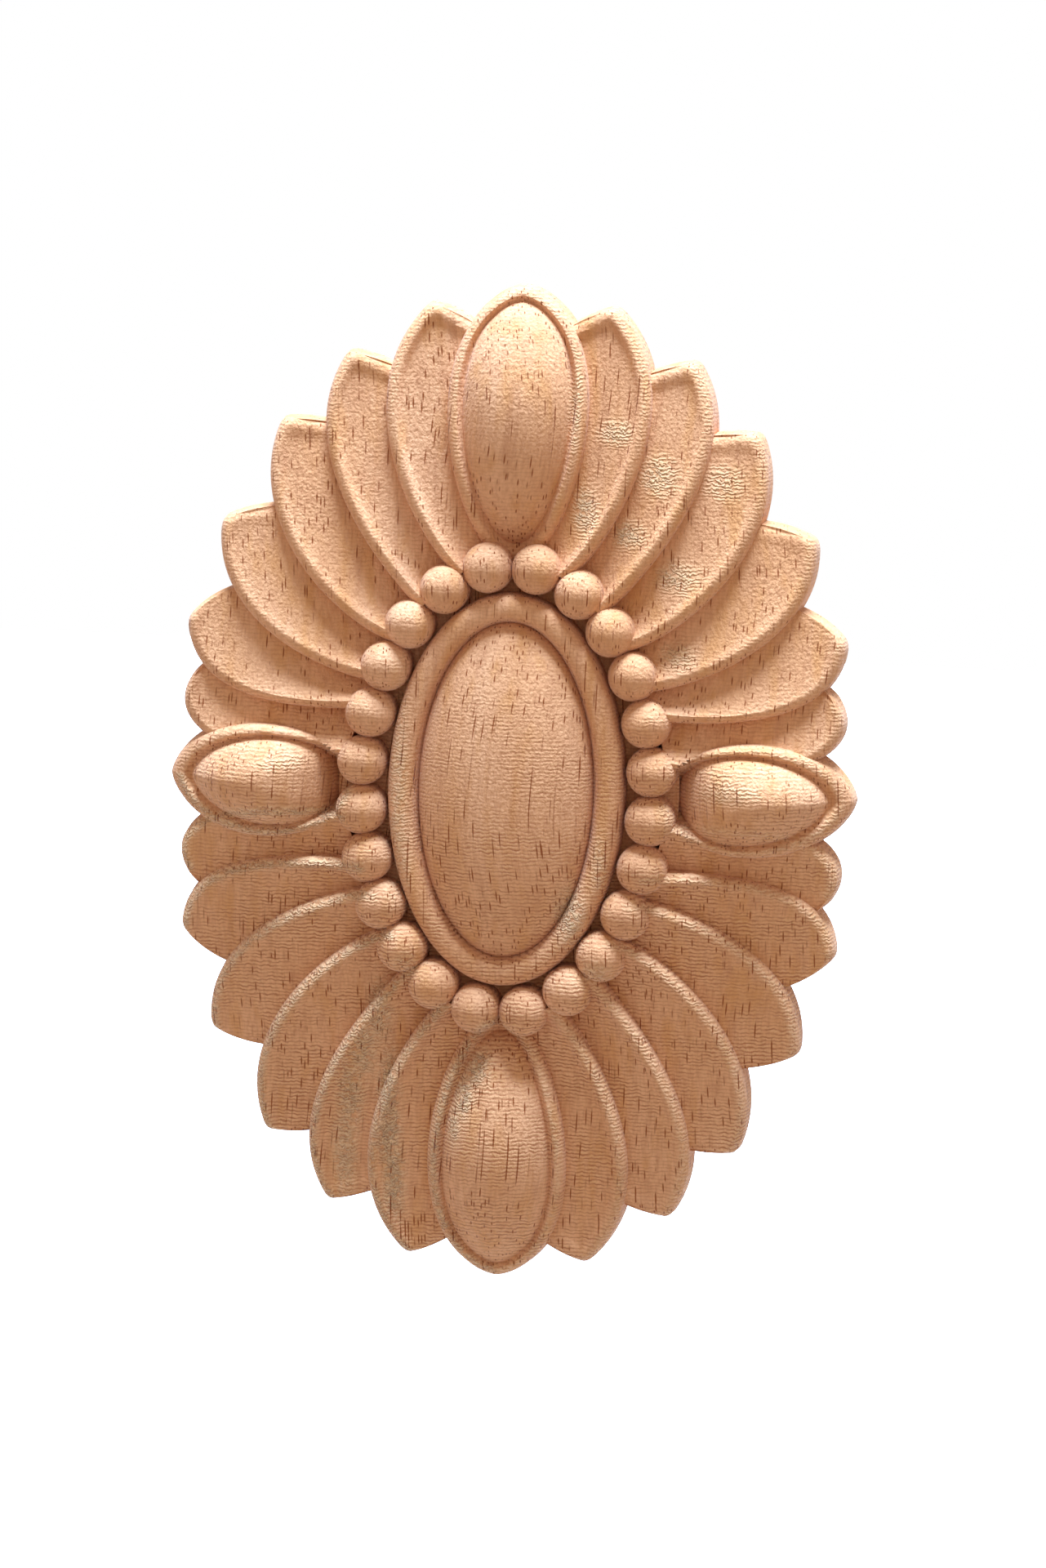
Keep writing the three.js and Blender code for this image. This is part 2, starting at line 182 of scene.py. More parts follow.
# Cross-section of the band, from its outer foot (0) to the groove (1), as [share of its width, height]
bandProfile = [
    [0, 5.8], [0.03, 6.7], [0.07, 7.25], [0.12, 7.6], [0.2, 7.9], [0.3, 8.1], [0.42, 8.2], [0.55, 8.2],
    [0.66, 8.14], [0.75, 8.0], [0.82, 7.76], [0.88, 7.4], [0.93, 6.95], [0.97, 6.5], [1, 6.2],
]


def makeMiddle():
    domeSteps = middle["domeSteps"]
    levels = [(
        middle["bandWidth"] + (middle["grooveWidth"] - middle["bandWidth"]) * share,
        middle["bandHeight"] + (middle["grooveHeight"] - middle["bandHeight"]) * share,
        level,
    ) for share, level in bandProfile]
    for step in range(1, domeSteps):
        share = math.cos(step / domeSteps * math.pi / 2)
        rise = (1 - share ** 2) ** middle["domeSwell"]
        levels.append((
            middle["grooveWidth"] * share, middle["grooveHeight"] * share,
            middle["grooveFloor"] + (middle["domeTop"] - middle["grooveFloor"]) * rise,
        ))
    bpy.ops.mesh.primitive_circle_add(vertices=middle["facets"], radius=mm, fill_type="NGON",
                                      location=(0, rosette["buried"] * mm, 0), rotation=(math.pi / 2, 0, 0))
    piece = bpy.context.object
    bpy.ops.object.transform_apply(location=True, rotation=True, scale=True)
    bpy.ops.object.mode_set(mode="EDIT")
    bpy.ops.mesh.select_all(action="SELECT")
    width, height, level = middle["bandWidth"], middle["bandHeight"], -rosette["buried"]
    bpy.ops.transform.resize(value=(width / 2, 1, height / 2), center_override=(0, 0, 0))
    for nextWidth, nextHeight, nextLevel in levels:
        bpy.ops.mesh.extrude_region_move(TRANSFORM_OT_translate={"value": (0, (level - nextLevel) * mm, 0)})
        bpy.ops.transform.resize(value=(nextWidth / width, 1, nextHeight / height), center_override=(0, 0, 0))
        width, height, level = nextWidth, nextHeight, nextLevel
    last = (level - middle["domeTop"]) * mm
    bpy.ops.mesh.extrude_region_move(TRANSFORM_OT_translate={"value": (0, last, 0)})
    bpy.ops.mesh.merge(type="CENTER")
    bpy.ops.mesh.select_all(action="SELECT")
    bpy.ops.mesh.normals_make_consistent(inside=False)
    bpy.ops.object.mode_set(mode="OBJECT")
    return piece


def makePitFloor():
    reach = beads["gap"] + beads["diameter"]
    thickness = rosette["buried"] + middle["pitFloor"]
    bpy.ops.mesh.primitive_cylinder_add(vertices=middle["pitFacets"], radius=mm, depth=thickness * mm,
                                        location=(0, (rosette["buried"] - middle["pitFloor"]) / 2 * mm, 0),
                                        rotation=(math.pi / 2, 0, 0))
    bpy.ops.object.transform_apply(location=True, rotation=True, scale=True)
    bpy.ops.transform.resize(value=(middle["bandWidth"] / 2 + reach, 1, middle["bandHeight"] / 2 + reach),
                             center_override=(0, 0, 0))
    bpy.ops.object.transform_apply(location=True, rotation=True, scale=True)
    return bpy.context.object


# Beads: one ball cut at its widest line with a straight skirt below, copied round the band

beads = {
    "diameter": 6.05,
    "centreHeight": 6.4,
    "gap": 0.2,
    "count": 24,
    "skirt": 0.3,              # how far the skirt reaches below the floor of the pits
    "ovalSteps": 20000,
    "segments": 36,
    "rings": 18,
    "sizeSpread": 0.015,       # hand-guided cutter: no two quite alike
    "placeSpread": 0.06,
    "seed": 7,
}


def beadPlaces():
    reach = beads["diameter"] / 2 + beads["gap"]
    turns = np.linspace(0, 2 * math.pi, beads["ovalSteps"] + 1)
    across = (middle["bandWidth"] / 2 + reach) * np.cos(turns)
    upwards = (middle["bandHeight"] / 2 + reach) * np.sin(turns)
    oval = np.stack([across, upwards], -1)
    lengths = np.concatenate([[0], np.cumsum(np.linalg.norm(np.diff(oval, axis=0), axis=1))])
    wanted = (np.arange(beads["count"]) + 0.5) / beads["count"] * lengths[-1]
    return [(np.interp(w, lengths, oval[:, 0]), np.interp(w, lengths, oval[:, 1])) for w in wanted]


def makeBeads():
    radius, centre = beads["diameter"] / 2 * mm, beads["centreHeight"] * mm
    bpy.ops.mesh.primitive_uv_sphere_add(segments=beads["segments"], ring_count=beads["rings"], radius=radius,
                                         location=(0, -centre, 0), rotation=(math.pi / 2, 0, 0))
    first = bpy.context.object
    bpy.ops.object.transform_apply(location=True, rotation=True, scale=True)
    bpy.ops.object.mode_set(mode="EDIT")
    bpy.ops.mesh.select_all(action="SELECT")
    bpy.ops.mesh.bisect(plane_co=(0, -centre, 0), plane_no=(0, 1, 0), use_fill=True, clear_outer=True)
    skirt = (beads["centreHeight"] - middle["pitFloor"] + beads["skirt"]) * mm
    bpy.ops.mesh.extrude_region_move(TRANSFORM_OT_translate={"value": (0, skirt, 0)})
    bpy.ops.mesh.select_all(action="SELECT")
    bpy.ops.mesh.normals_make_consistent(inside=False)
    bpy.ops.object.mode_set(mode="OBJECT")
    chance = random.Random(beads["seed"])
    made = []
    for x, z in beadPlaces():
        soleSelection(first)
        bpy.ops.object.duplicate()
        size = 1 + chance.uniform(-1, 1) * beads["sizeSpread"]
        bpy.ops.transform.resize(value=(size, 1, size), center_override=(0, 0, 0))
        shift = [chance.uniform(-1, 1) * beads["placeSpread"] for _ in range(2)]
        bpy.ops.transform.translate(value=((x + shift[0]) * mm, 0, (z + shift[1]) * mm))
        bpy.ops.object.transform_apply(location=True, rotation=True, scale=True)
        made.append(bpy.context.object)
    bpy.data.objects.remove(first)
    return made


# Medallions: rounded rim, flank down to a crease, and an egg-shaped dome

medallions = {
    "creaseDepth": 0.7,
    "crestShare": 0.6,         # the rim is highest this far in from its outer edge
    "fullness": 0.8,           # 0.5 is a dome as round as an egg, 1 a flatter one
    "footSinkSpread": 3,       # the higher, the nearer to the foot's end it sinks
    "peakReach": 0.22,         # how much of the outline the small peak at the tip takes up
    "facets": 120,
    "ringsOnRim": 16,
    "ringsOnDome": 16,
}

# middle, half length and half breadth are shares of the rosette's half height or half width
uprightMedallion = {
    "outer": {
        "middle": 0.7167, "length": 0.2763, "breadth": 0.2,
        "egg": 0.19, "point": 1.05, "peak": 0.007,
    },
    "crease": {
        "middle": 0.7265, "length": 0.2365, "breadth": 0.1554,
        "egg": 0.19, "point": 1.0, "peak": 0.008,
    },
    "domeRise": 3.5,
    "rimRaise": 0.0,
    "footSink": 2.8,           # the foot slips under the beads
}
levelMedallion = {
    "outer": {
        "middle": 0.7108, "length": 0.2812, "breadth": 0.1125,
        "egg": 0.0, "point": 1.08, "peak": 0.008,
    },
    "crease": {
        "middle": 0.7036, "length": 0.2229, "breadth": 0.0883,
        "egg": -0.12, "point": 1.1, "peak": 0.004,
    },
    "domeRise": 3.3,
    "rimRaise": 1.0,
    "footSink": 5.5,
}


def eggOutline(egg, turns, upright):
    along, across = (halfHeight, halfWidth) if upright else (halfWidth, halfHeight)
    side = np.sign(np.sin(turns)) * np.abs(np.sin(turns)) ** egg["point"]
    peak = egg["peak"] * np.clip(1 - np.abs(np.sin(turns / 2)) / medallions["peakReach"], 0, 1)
    length = along * (egg["middle"] + egg["length"] * np.cos(turns) + peak)
    breadth = across * egg["breadth"] * side * (1 + egg["egg"] * np.cos(turns))
    return np.stack([breadth, length] if upright else [length, breadth], -1)


def depthInside(egg, plan, upright):
    # how far a point lies in from the long side of an egg, negative outside it
    along, across = (halfHeight, halfWidth) if upright else (halfWidth, halfHeight)
    length, breadth = (plan[..., 1], plan[..., 0]) if upright else (plan[..., 0], plan[..., 1])
    cosine = np.clip((length / along - egg["middle"]) / egg["length"], -1, 1)
    side = across * egg["breadth"] * np.sqrt(1 - cosine ** 2) ** egg["point"] * (1 + egg["egg"] * cosine)
    return side - np.abs(breadth)


def makeMedallion(name, form, upright):
    turns = np.linspace(0, 2 * math.pi, medallions["facets"] + 1)
    outer = eggOutline(form["outer"], turns, upright)
    inner = eggOutline(form["crease"], turns, upright)
    centre = eggOutline({**form["crease"], "length": 0, "breadth": 0, "peak": 0}, turns[:1], upright)[0]
    sink = form["footSink"] * np.clip(-np.cos(turns), 0, 1) ** medallions["footSinkSpread"]
    crest = form["rimRaise"] * np.sin(turns) ** 2 - sink
    plans, heights = [], []
    wall = crownHeight(outer) + crest + rosette["buried"]
    outwards = (outer - centre) / np.linalg.norm(outer - centre, axis=1)[:, None]
    plans.append(outer + outwards * (rosette["wallFlare"] * wall)[:, None])
    heights.append(np.full(len(turns), -rosette["buried"]))
    for step in range(medallions["ringsOnRim"] + 1):
        share = step / medallions["ringsOnRim"]
        plan = outer + (inner - outer) * share
        rounding = rimRounding(rosette["rimReach"] * min(1, share / medallions["crestShare"]))
        inwards = max(0, (share - medallions["crestShare"]) / (1 - medallions["crestShare"]))
        flank = medallions["creaseDepth"] * (0.5 - 0.5 * math.cos(math.pi * inwards))
        plans.append(plan)
        heights.append(crownHeight(plan) + crest - rounding - flank)
    creaseHeight = heights[-1]
    top = crownHeight(centre) + form["rimRaise"] - medallions["creaseDepth"] + form["domeRise"]
    for step in range(1, medallions["ringsOnDome"] + 1):
        share = math.cos(step / medallions["ringsOnDome"] * math.pi / 2)
        plans.append(centre + (inner - centre) * share)
        heights.append(creaseHeight + (top - creaseHeight) * (1 - share ** 2) ** medallions["fullness"])
    return solidFromGrid(name, np.array(plans), np.array(heights))


# Petals: each laps over the next, from the upright medallion round to the level one

petals = {
    "scoopAtRoot": 3.8,        # depth of the hollow below the rims beside the beads
    "scoopAtTip": 1.8,
    "scoopFade": 2.0,
    "hollow": 0.35,            # 0 is a flat slope across the petal, 1 a round hollow
    "innerStep": 0.5,          # the rim stands this much proud of the hollow beside it
    "stepStart": 1.25,
    "stepWidth": 1.0,
    "thinnest": 1.2,
    "tipRound": 0.9,
    "leastHollow": 0.2,
    "tuck": 2.5,               # sinks this far where it lies under a medallion
    "tuckStart": 0.5,
    "tuckWidth": 0.8,
    "lap": 2.2,                # how far a petal runs in under the one before it
    "ribsOnLongEdge": 56,
    "ribsOnTip": 8,
    "ribsOnShortEdge": 12,
    "shortEdgeEnd": 0.94,      # the last rib stands this share along the short edge
    "ringsOnRim": 7,
    "ringsOnStep": 5,
    "ringsInHollow": 14,
    "ribShare": 0.8,           # rim and step take up at most this share of a short rib
    "ribEnd": 0.97,            # ribs end this share of the way to the guide
    "lengthPoints": 200,       # points that measure an edge's length
    "directionStep": 0.01,     # share of an edge over which its direction is taken
    "notchTurn": 41,           # where the first petal comes out from under the upright medallion
    "rootTurn": 165,
}

# Each long edge is a cubic curve with control points [turn from the upright axis in degrees, reach as a share
# of the oval]. The next petal starts at the notch, a share of the curve, and bow is the bulge of the short
# edge as a share of its length. Rim and tipRim are the shares of the inner step that show along the edge and
# round the tip.
petalEdges = [
    {
        "curve": [[20.8, 0.455], [29.8, 0.574], [33.7, 0.95], [15.6, 1.0]],
        "notch": 0.77, "bow": 0.125, "rim": 1.0, "tipRim": 1.0,
    }, {
        "curve": [[36.7, 0.443], [42.7, 0.638], [44.1, 0.963], [30.4, 0.998]],
        "notch": 0.72, "bow": 0.125, "rim": 0.7, "tipRim": 0.6,
    }, {
        "curve": [[48.9, 0.431], [58, 0.61], [57.2, 0.97], [43.9, 1.002]],
        "notch": 0.68, "bow": 0.125, "rim": 0.4, "tipRim": 0.3,
    }, {
        "curve": [[61.2, 0.429], [66.2, 0.512], [71.7, 0.947], [59.2, 1.007]],
        "notch": 0.74, "bow": 0.17, "rim": 0.2, "tipRim": 0.1,
    }, {
        "curve": [[69.7, 0.437], [77.2, 0.655], [80.9, 0.96], [72, 1.01]],
        "notch": 0.74, "bow": 0.225, "rim": 0, "tipRim": 0,
    }, {
        "curve": [[83.6, 0.472], [88.6, 0.832], [84.4, 1.029], [78.5, 0.966]],
        "notch": 0.6, "bow": 0.28, "rim": 0, "tipRim": 0,
    },
]


def longEdge(number, shares):
    return bezier([onOval(*place) for place in petalEdges[number]["curve"]], shares)


def lappingEdge(number, shares):
    if number == 0:
        turns = np.radians(petals["rootTurn"] + (petals["notchTurn"] - petals["rootTurn"]) * shares)
        return eggOutline(uprightMedallion["outer"], turns, True)
    return longEdge(number - 1, shares * petalEdges[number - 1]["notch"])


def lappingGuide(number, shares):
    before = lappingEdge(number, np.maximum(0, shares - petals["directionStep"]))
    after = lappingEdge(number, np.minimum(1, shares + petals["directionStep"]))
    along = (after - before) / np.linalg.norm(after - before, axis=1)[:, None]
    inwards = np.stack([-along[:, 1], along[:, 0]], -1)
    return lappingEdge(number, shares) + inwards * petals["lap"]


def pathLength(path):
    return np.linalg.norm(np.diff(path, axis=0), axis=1).sum()


def makePetal(number):
    edge = petalEdges[number]
    fine = np.linspace(0, 1, petals["lengthPoints"])
    tip = onOval(*edge["curve"][-1])
    end = lappingGuide(number, np.array([1.0]))[0]
    notch = lappingEdge(number, np.array([1.0]))[0]
    outward = np.array([tip[1] - end[1], end[0] - tip[0]])
    bulge = edge["bow"] * np.linalg.norm(tip - notch)
    bow = (tip + notch) / 2 - outward / np.linalg.norm(outward) * bulge
    longCut = 1 - petals["tipRound"] / pathLength(longEdge(number, fine))
    shortCut = petals["tipRound"] / pathLength(bezier([tip, bow, end], fine))
    cornerStart = longEdge(number, np.array([longCut]))[0]
    cornerEnd = bezier([tip, bow, end], np.array([shortCut]))[0]
    alongLong = np.linspace(0, 1, petals["ribsOnLongEdge"] + 1)
    alongTip = np.linspace(0, 1, petals["ribsOnTip"] + 1)[1:]
    alongShort = np.linspace(0, 1, petals["ribsOnShortEdge"] + 1)[1:]
    place = np.concatenate([
        longEdge(number, alongLong * longCut),
        bezier([cornerStart, tip, cornerEnd], alongTip),
        bezier([tip, bow, end], shortCut + (petals["shortEdgeEnd"] - shortCut) * alongShort),
    ])
    pastLong = len(alongTip) + len(alongShort)
    guide = np.concatenate([lappingGuide(number, alongLong), np.tile(end, (pastLong, 1))])
    longShare = np.concatenate([alongLong, np.ones(pastLong)])
    shortShare = np.concatenate([np.zeros(len(alongLong) + len(alongTip)), alongShort])
    tipShare = np.concatenate([np.zeros(len(alongLong)), alongTip, np.ones(len(alongShort))])
    # ribs run from the wall to the guide, close together over the rim and wider in the hollow
    reach, rimRings, stepRings = rosette["rimReach"], petals["ringsOnRim"], petals["ringsOnStep"]
    overRim = [reach * (1 - math.cos(ring / rimRings * math.pi / 2)) for ring in range(rimRings + 1)]
    overStep = [petals["stepStart"] + petals["stepWidth"] * ring / stepRings for ring in range(stepRings + 1)]
    fixed = np.array(overRim + overStep)
    rib = guide - place
    length = np.linalg.norm(rib, axis=1)
    squeeze = np.minimum(1, petals["ribShare"] * length / fixed[-1])
    inHollow = np.linspace(0, 1, petals["ringsInHollow"] + 1)[1:]
    last = length * petals["ribEnd"]
    distance = np.concatenate([
        fixed[:, None] * squeeze,
        fixed[-1] * squeeze + (last - fixed[-1] * squeeze) * inHollow[:, None],
    ])
    plan = place + rib * (distance / length)[..., None]
    inwards = nearestOnPath(plan, place)
    inwards[0] = 0
    deeper = petals["scoopAtRoot"] - petals["scoopAtTip"]
    scoop = petals["scoopAtTip"] + deeper * (1 - longShare) ** petals["scoopFade"]
    past = distance - petals["stepStart"]
    share = np.clip(past / np.maximum(petals["stepWidth"], length - petals["stepStart"]), 0, 1)
    step = petals["innerStep"] * (edge["rim"] + (edge["tipRim"] - edge["rim"]) * tipShare)
    stepSink = step * smoothStep((inwards - petals["stepStart"]) / petals["stepWidth"])
    rest = np.maximum(scoop - step, petals["leastHollow"])
    crestSink = rest * shortShare ** 2
    restSink = crestSink + (rest - crestSink) * share * (1 + petals["hollow"] * (1 - share))
    height = np.maximum(petals["thinnest"], crownHeight(plan) - stepSink - restSink - rimRounding(inwards))
    underUpright = depthInside(uprightMedallion["outer"], plan, True)
    underLevel = depthInside(levelMedallion["outer"], plan, False)
    under = np.maximum(underUpright, underLevel)
    tucked = petals["tuck"] * smoothStep((under - petals["tuckStart"]) / petals["tuckWidth"])
    height = np.maximum(petals["thinnest"], height - tucked)
    # border behind the back: a flared foot outside the wall and straight sides under the neighbours
    along = np.gradient(place, axis=0)
    along /= np.linalg.norm(along, axis=1)[:, None]
    outwards = np.stack([along[:, 1], -along[:, 0]], -1)
    foot = place + outwards * (rosette["wallFlare"] * (rosette["buried"] + height[0]))[:, None]
    plan = np.concatenate([foot[None], plan, plan[-1:]])
    plan = np.concatenate([plan[:, :1], plan, plan[:, -1:]], 1)
    height = np.pad(height, 1, constant_values=-rosette["buried"])
    return solidFromGrid("petal", plan, height)


# The whole carving as one block of wood, with its back cut flat

finish = {
    "sharpAbove": 32,          # edges that turn more than this stay crisp, in degrees
}


def makeCarving():
    block = makeMiddle()
    joinInto(block, makePitFloor())
    for bead in makeBeads():
        joinInto(block, bead)
    print("middle and beads joined", len(block.data.vertices))
    upright = makeMedallion("uprightMedallion", uprightMedallion, True)
    level = makeMedallion("levelMedallion", levelMedallion, False)
    for piece in mirroredCopies(upright, False, True) + mirroredCopies(level, True, False):
        joinInto(block, piece)
    print("medallions joined", len(block.data.vertices))
    quarter = makePetal(0)
    for number in range(1, len(petalEdges)):
        joinInto(quarter, makePetal(number))
    for piece in mirroredCopies(quarter, True, True):
        joinInto(block, piece)
    print("petals joined", len(block.data.vertices))
    soleSelection(block)
    bpy.ops.object.mode_set(mode="EDIT")
    bpy.ops.mesh.select_all(action="SELECT")
    bpy.ops.mesh.bisect(plane_co=(0, 0, 0), plane_no=(0, 1, 0), use_fill=True, clear_outer=True,
                        threshold=closeness["backCut"] * mm)
    bpy.ops.mesh.select_all(action="SELECT")
    bpy.ops.mesh.remove_doubles(threshold=closeness["carving"] * mm)
    bpy.ops.mesh.normals_make_consistent(inside=False)
    bpy.ops.object.mode_set(mode="OBJECT")
    block.name = "carvedWood"
    block.data.name = "carvedWood"
    bpy.ops.object.shade_smooth_by_angle(angle=math.radians(finish["sharpAbove"]))
    return block


# Materials


def linearColour(code):
    parts = [int(code[i:i + 2], 16) / 255 for i in (1, 3, 5)]
    return [p / 12.92 if p <= 0.04045 else ((p + 0.055) / 1.055) ** 2.4 for p in parts] + [1]


def addNode(tree, kind, settings):
    # a setting is a value, or another node's output, which is linked to that input
    node = tree.nodes.new(kind)
    for name, value in settings.items():
        if isinstance(value, bpy.types.NodeSocket):
            tree.links.new(value, node.inputs[name])
        elif isinstance(name, int) or name in node.inputs:
            node.inputs[name].default_value = value
        else:
            setattr(node, name, value)
    return node


# Places where the cutter tore the fibres and left them pale, as [x, z, half width, half height, strength]
tornPlaces = [
    [11.8, 43, 2.0, 1.4, 0.9], [8.5, 33.5, 1.5, 2.8, 0.9], [17, 38, 2.2, 2.2, 0.9], [13.7, 31, 1.9, 1.6, 0.9],
    [24.5, 37.5, 2.4, 2.0, 0.6], [19.5, 26.2, 2.6, 1.8, 0.8], [20, 16.8, 2.2, 1.6, 0.7],
    [7.0, 45.5, 0.7, 5.5, 0.7], [-13.2, -36.6, 1.4, 5, 1], [-13.1, -42, 1.4, 5, 1], [-12.5, -48, 1.3, 5.5, 1],
    [-14.6, -27.5, 1.6, 4, 0.8], [-16.4, -32, 1.6, 4, 0.8],
    [-17.9, -38, 1.6, 5, 0.8], [-18.6, -45, 1.5, 6, 0.8],
    [-2.3, -33.6, 1.5, 2.2, 0.9], [-3.8, -37, 1.2, 2.6, 0.9], [-4.9, -40.5, 0.8, 2.4, 0.8],
    [-12.8, 0, 1.2, 14, 0.55], [-12, -9, 1.2, 6, 0.4],
    [8.3, -14.5, 1.8, 3.6, 0.9], [11.6, -8, 1.0, 4, 0.5],
    [-26.5, 2.5, 3, 1.2, 0.35], [27, 1.2, 3.4, 1.4, 0.5],
    [11.5, -21.2, 2.2, 1.4, 0.6], [-11, -21, 2.0, 1.2, 0.4],
]

# How pale the rim crests are in each quarter, right or left, upper or lower: torn fibres, and painted
# highlight along the rims of the lower quarters
tornRimsAndHighlight = {(1, 1): 0.2, (-1, 1): 0.12, (-1, -1): 0.75, (1, -1): 0.35}

tornSpread = {
    "pathPoints": 60,
    "petalCrest": 0.6,         # torn line on a petal, as a share of the rim's reach
    "medallionCrest": 0.5,     # and on a medallion, as a share of the way to its crease
    "rimWidth": 0.6,
    "patchEdge": 1.5,          # the higher, the more sharply a patch ends
    "clearOfBack": 1.0,
}


def markTornFibres(piece):
    places = np.empty(len(piece.data.vertices) * 3)
    piece.data.vertices.foreach_get("co", places)
    places = places.reshape(-1, 3) / mm
    plan = places[:, [0, 2]]
    shares = np.linspace(0, 1, tornSpread["pathPoints"])
    crests = []
    for number in range(len(petalEdges)):
        edge = longEdge(number, shares)
        along = np.gradient(edge, axis=0)
        along /= np.linalg.norm(along, axis=1)[:, None]
        inwards = np.stack([-along[:, 1], along[:, 0]], -1)
        crests.append(edge + inwards * rosette["rimReach"] * tornSpread["petalCrest"])
    turns = np.linspace(0, math.pi, tornSpread["pathPoints"])
    for form, upright in ((uprightMedallion, True), (levelMedallion, False)):
        outer = eggOutline(form["outer"], turns, upright)
        inner = eggOutline(form["crease"], turns, upright)
        crests.append(outer + (inner - outer) * tornSpread["medallionCrest"])
    folded = np.abs(plan)
    gap = np.min([nearestOnPath(folded, crest) for crest in crests], axis=0)
    strength = np.zeros(len(plan))
    # rim crests turn pale: torn fibres, and on the lower rims painted highlight
    for (sideways, upwards), share in tornRimsAndHighlight.items():
        here = (plan[:, 0] * sideways > 0) & (plan[:, 1] * upwards > 0)
        strength[here] = share * np.exp(-(gap[here] / tornSpread["rimWidth"]) ** 2)
    for x, z, halfAcross, halfUp, share in tornPlaces:
        reach = ((plan[:, 0] - x) / halfAcross) ** 2 + ((plan[:, 1] - z) / halfUp) ** 2
        strength = np.maximum(strength, share * np.exp(-reach ** tornSpread["patchEdge"]))
    strength[places[:, 1] > -tornSpread["clearOfBack"]] = 0
    marks = piece.data.attributes.new("tornFibres", "FLOAT", "POINT")
    marks.data.foreach_set("value", strength.astype(np.float32))


wood = {
    "pale": "#e8b186",
    "mid": "#db9e6d",
    "deep": "#b1724a",
    "amber": "#cc8b49",
    "vessel": "#8c4817",
    "torn": "#f0c490",
    "tornPaintedHighlight": "#f7cfa0",       # torn fibres in the lower half, paler: painted highlight where the fibres would catch the light in the shaded half
    "roughness": 0.75,
    "refraction": 1.5,
    "shine": 0.3,
    "fuzz": 0.12,              # raised fibres, which light that grazes the surface turns pale
    "fuzzSoftness": 0.5,
    "grainRepeats": 0.03,      # repeats of the grain's wandering per millimetre
    "grainDrift": (6.0, 4.0, 0.0),
    "vesselSpacing": 0.4,      # across the grain
    "vesselRadius": 0.08,
    "vesselEdge": (1.35, 0.75),    # a pore begins and is full at these shares of the radius
    "vesselSpread": 0.62,      # under 1, vessels lie further apart into the board
    "vesselVariety": 40,       # how differently the vessels open and close
    "vesselRepeats": 0.16,     # along a vessel, per millimetre
    "cutterStep": 0.46,        # between the passes of the round cutter
    "wideWaver": 0.55,         # how far the passes wander, in millimetres
    "fineWaver": 0.26,
    "tornWaver": 0.9,          # and how much more where the fibres tore
    "ridgesInTorn": 0.15,
}

# Noise patterns of the wood: what each follows, its repeats per millimetre across, into and along the board,
# and its detail
woodPatterns = {
    "opening": ("vessel", (1, 1, 1), 1),
    "crowding": ("board", (0.35, 0.35, 0.05), 2),
    "slow": ("board", (0.1, 0.1, 0.012), 3),
    "fibre": ("grain", (3.2, 3.2, 0.3), 3),
    "streak": ("grain", (0.9, 0.9, 0.03), 2),
    "stain": ("grain", (0.45, 0.45, 0.07), 3),
    "ragged": ("board", (1.3, 1.3, 1.3), 3),
    "wideWaver": ("board", (0.8, 0.8, 0.8), 1),
    "fineWaver": ("board", (2.2, 2.2, 1.2), 1),
    "broken": ("board", (1, 1, 2), 2),
    "faint": ("board", (0.12, 0.12, 0.2), 2),
    "crumbs": ("board", (2.4, 2.4, 3), 4),
    "grit": ("board", (3, 3, 2), 4),
}

# A signal that runs from the first value to the second becomes a share from the third to the fourth
woodRanges = {
    "opening": (0.46, 0.52, 0, 1),
    "crowding": (0.85, 1.15, 0, 1),
    "slow": (0.3, 0.7, 0, 1),
    "fibre": (0.4, 0.8, 0, 0.5),
    "streak": (0.5, 0.75, 0, 0.35),
    "stain": (0.5, 0.68, 0, 0.5),
    "ragged": (0.3, 0.5, 0, 1),
    "shadedLowerHalf": (15, -12, 0.3, 1),      # by height in millimetres: the lower half, which the grazing key light hardly reaches, shows the passes more, with stronger painted shade and highlight
    "broken": (0.3, 0.62, 0.2, 1),
    "faint": (0.38, 0.6, 0.4, 1),
    # painted shade in the valleys of the cutter's passes and painted highlight on their crests
    "paintedValleyShade": (0, -0.75, 0, 1),
    "crests": (0.1, 0.9, 0, 0.45),
    # torn colour gathers on the crests of the ridges and crumbs, partly painted highlight
    "lifted": (0.34, 0.6, 0.15, 1),
}

# Heights of the fine relief in millimetres, gathered for one bump
woodRelief = {
    "grit": 0.2,
    "fibre": 0.05,
    "passes": 0.03,
    "tornRidges": 0.12,
    "tornCrumbs": 0.4,
    "vessel": -0.015,
}


